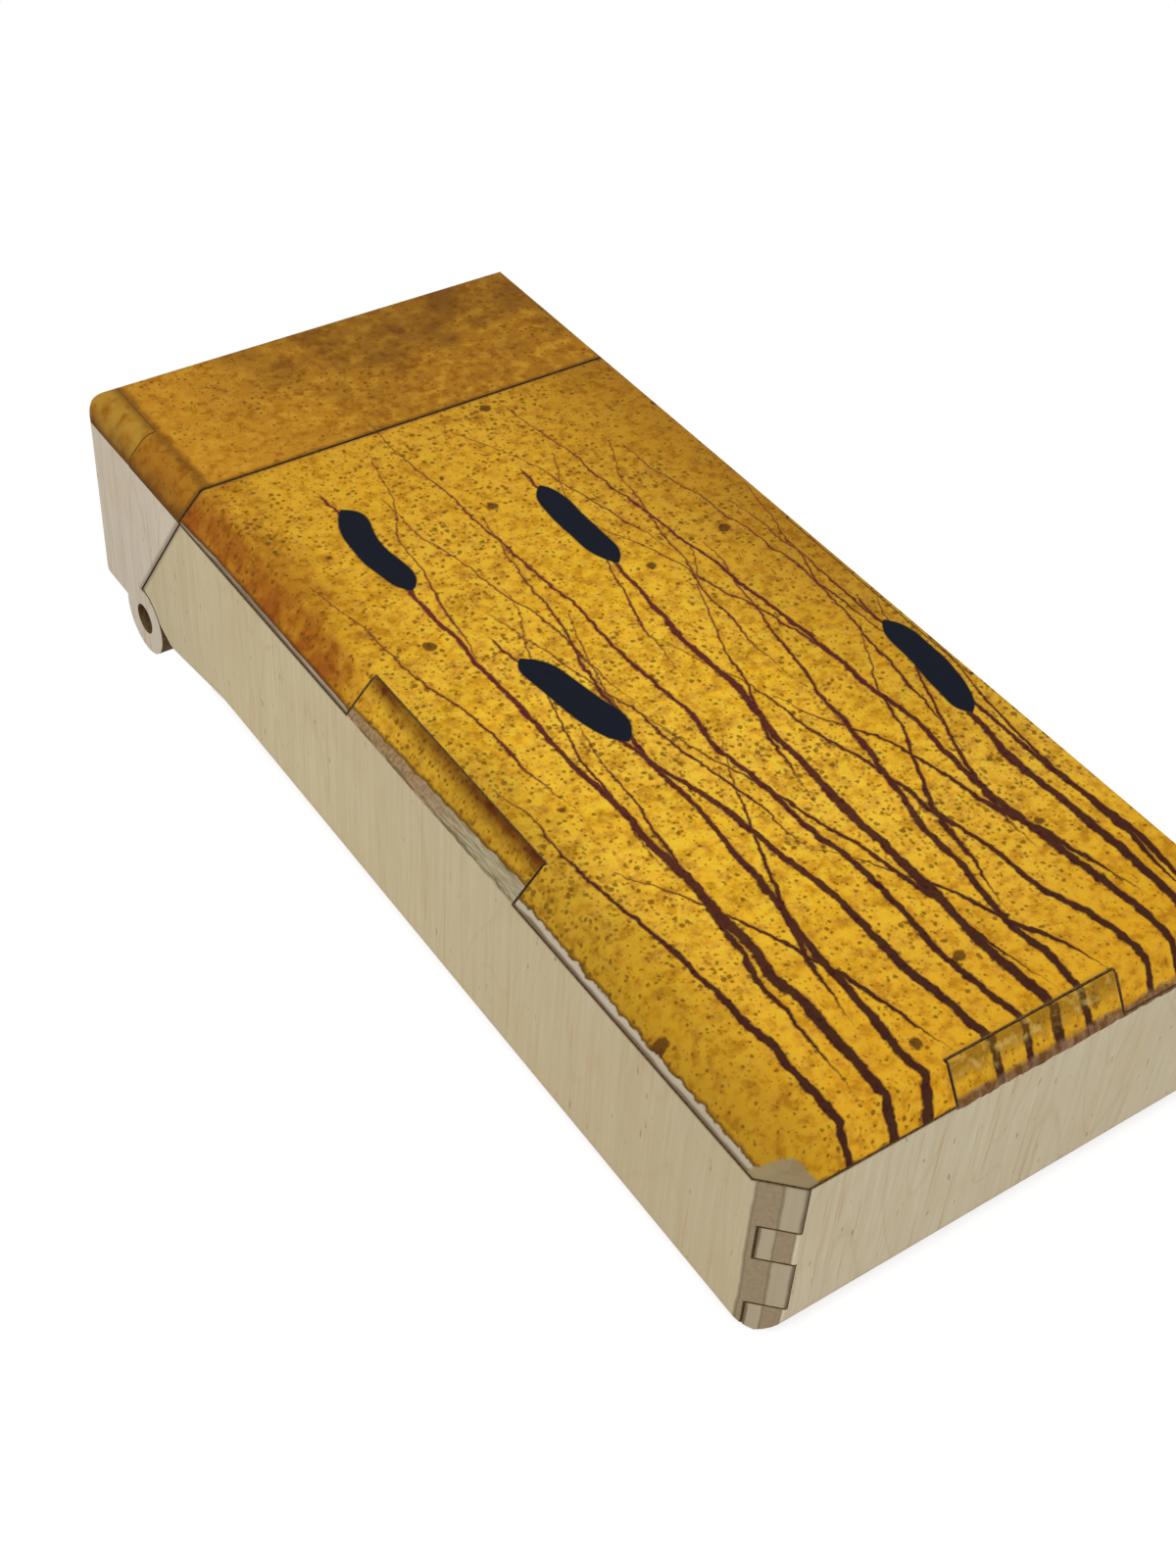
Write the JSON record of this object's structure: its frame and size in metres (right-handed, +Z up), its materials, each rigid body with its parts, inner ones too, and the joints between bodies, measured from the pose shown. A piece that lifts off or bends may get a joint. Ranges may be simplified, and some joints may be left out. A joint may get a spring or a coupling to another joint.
{
  "type": "cigarette case",
  "caption": "Flat flip-top cigarette case of finger-jointed birch plywood with a printed front, a lid hinged on side ears at the back and an inner collar.",
  "frame": {"origin": "under the middle of the case as it lies on its back, level with the lowest line of the hinge ears", "axes": "+X across the width to the right, +Y along the length towards the lid, +Z up out of the printed front"},
  "size_m": [0.05, 0.11, 0.0256],
  "materials": {
    "birch_plywood": "bare sanded birch plywood, three plies, dark laser-cut joint lines",
    "printed_birch": "birch plywood printed with a mottled golden ground under a satin coat",
    "pin_steel": "plain drawn steel wire, dull",
    "magnet_nickel": "nickel-plated magnet discs"
  },
  "bodies": {
    "case": {"front_panel": "printed_birch", "back_panel": "birch_plywood", "left_side_panel": "birch_plywood", "right_side_panel": "birch_plywood", "bottom_end_panel": "birch_plywood", "left_inner_cheek": "birch_plywood", "right_inner_cheek": "birch_plywood", "front_collar": "birch_plywood", "left_hinge_pin": "pin_steel", "right_hinge_pin": "pin_steel", "left_case_magnet": "magnet_nickel", "right_case_magnet": "magnet_nickel"},
    "lid": {"lid_front_panel": "printed_birch", "lid_top_panel": "birch_plywood", "lid_back_panel": "birch_plywood", "left_lid_side": "birch_plywood", "right_lid_side": "birch_plywood", "left_lid_magnet": "magnet_nickel", "right_lid_magnet": "magnet_nickel"}
  },
  "joints": [
    {"name": "lid_hinge", "type": "hinge", "parent": "case", "child": "lid", "pos_m": [0, 0.046, 0.0038], "axis": [-1, 0, 0], "range_deg": [0, 175]}
  ]
}
